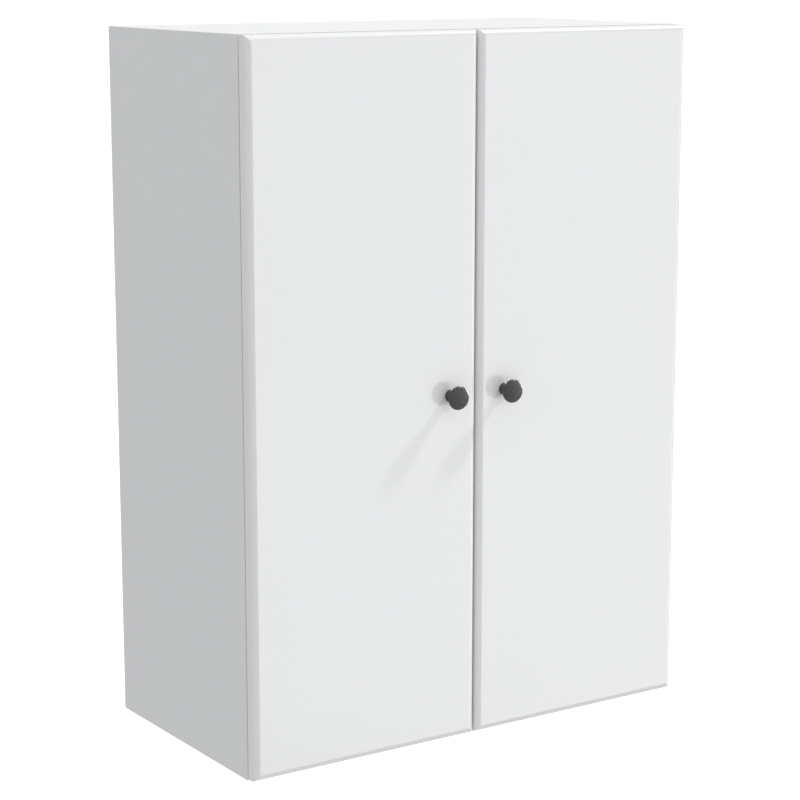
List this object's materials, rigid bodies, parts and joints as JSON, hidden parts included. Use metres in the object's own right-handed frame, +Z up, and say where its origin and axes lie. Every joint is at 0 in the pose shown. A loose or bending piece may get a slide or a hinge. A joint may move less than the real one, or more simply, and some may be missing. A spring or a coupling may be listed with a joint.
{
  "type": "hanging wall cabinet",
  "caption": "Tall white two-door wall cabinet with round knobs, shelves on pins, concealed hinges and a wall rail it hooks over.",
  "frame": {"origin": "on the wall plane, at the centre of the wall rail's two screw holes", "axes": "+Z up, +Y into the wall, the doors face -Y, +X to the right of someone facing the cabinet"},
  "size_m": [0.72, 0.404, 0.988],
  "materials": {
    "door_lacquer": "satin white lacquer on MDF",
    "carcass_melamine": "fine-grained white melamine on chipboard",
    "back_hardboard": "white-faced hardboard",
    "knob_anthracite": "dark grey, semi-gloss",
    "nickel_steel": "nickel plated, satin",
    "zinc_screw": "bright zinc plated",
    "galvanised_steel": "galvanised",
    "die_cast_zinc": "raw die-cast zinc",
    "white_plastic": "matt white",
    "clear_buffer": "translucent soft polyurethane",
    "beech": "raw, fluted"
  },
  "bodies": {
    "cabinet": {"back_panel": "back_hardboard", "bottom_panel": "carcass_melamine", "cam_bolts": "zinc_screw", "cam_caps": "white_plastic", "cam_locks": "die_cast_zinc", "hanger_adjusting_screws": "zinc_screw", "hanger_cover_left": "white_plastic", "hanger_cover_right": "white_plastic", "hanger_hook_left": "galvanised_steel", "hanger_hook_right": "galvanised_steel", "hanger_housing_left": "white_plastic", "hanger_housing_right": "white_plastic", "hanger_screws": "zinc_screw", "hinge_adjusting_screws_left": "zinc_screw", "hinge_adjusting_screws_right": "zinc_screw", "hinge_arm_left_lower": "nickel_steel", "hinge_arm_left_middle": "nickel_steel", "hinge_arm_left_upper": "nickel_steel", "hinge_arm_pins_left": "nickel_steel", "hinge_arm_pins_right": "nickel_steel", "hinge_arm_right_lower": "nickel_steel", "hinge_arm_right_middle": "nickel_steel", "hinge_arm_right_upper": "nickel_steel", "hinge_plate_left_lower": "nickel_steel", "hinge_plate_left_middle": "nickel_steel", "hinge_plate_left_upper": "nickel_steel", "hinge_plate_right_lower": "nickel_steel", "hinge_plate_right_middle": "nickel_steel", "hinge_plate_right_upper": "nickel_steel", "hinge_plate_screws": "zinc_screw", "shelf_lower": "carcass_melamine", "shelf_pins_lower": "zinc_screw", "shelf_pins_upper": "zinc_screw", "shelf_upper": "carcass_melamine", "side_panel_left": "carcass_melamine", "side_panel_right": "carcass_melamine", "top_panel": "carcass_melamine", "wall_rail": "galvanised_steel", "wood_dowels": "beech"},
    "links_left": {"hinge_links_left": "nickel_steel"},
    "links_right": {"hinge_links_right": "nickel_steel"},
    "door_left": {"door_buffers_left": "clear_buffer", "door_left": "door_lacquer", "hinge_cup_left_lower": "nickel_steel", "hinge_cup_left_middle": "nickel_steel", "hinge_cup_left_upper": "nickel_steel", "hinge_cup_pins_left": "nickel_steel", "hinge_cup_screws_left": "zinc_screw", "knob_left": "knob_anthracite", "knob_screw_left": "zinc_screw"},
    "door_right": {"door_buffers_right": "clear_buffer", "door_right": "door_lacquer", "hinge_cup_pins_right": "nickel_steel", "hinge_cup_right_lower": "nickel_steel", "hinge_cup_right_middle": "nickel_steel", "hinge_cup_right_upper": "nickel_steel", "hinge_cup_screws_right": "zinc_screw", "knob_right": "knob_anthracite", "knob_screw_right": "zinc_screw"}
  },
  "joints": [
    {"name": "hinge_links_left_turn", "type": "hinge", "parent": "cabinet", "child": "links_left", "pos_m": [-0.3512, -0.3715, -0.444], "axis": [0, 0, -1], "range_deg": [0, 117.6]},
    {"name": "door_left_on_links", "type": "hinge", "parent": "links_left", "child": "door_left", "pos_m": [-0.3255, -0.366, -0.444], "axis": [0, 0, -1], "range_deg": [-12.8, 0.1]},
    {"name": "hinge_links_right_turn", "type": "hinge", "parent": "cabinet", "child": "links_right", "pos_m": [0.3512, -0.3715, -0.444], "axis": [0, 0, 1], "range_deg": [0, 117.6]},
    {"name": "door_right_on_links", "type": "hinge", "parent": "links_right", "child": "door_right", "pos_m": [0.3255, -0.366, -0.444], "axis": [0, 0, 1], "range_deg": [-12.8, 0.1]}
  ],
  "couplings": [
    {"joint": "door_left_on_links", "follows": "hinge_links_left_turn", "ratio": -0.10714},
    {"joint": "door_right_on_links", "follows": "hinge_links_right_turn", "ratio": -0.10714}
  ]
}
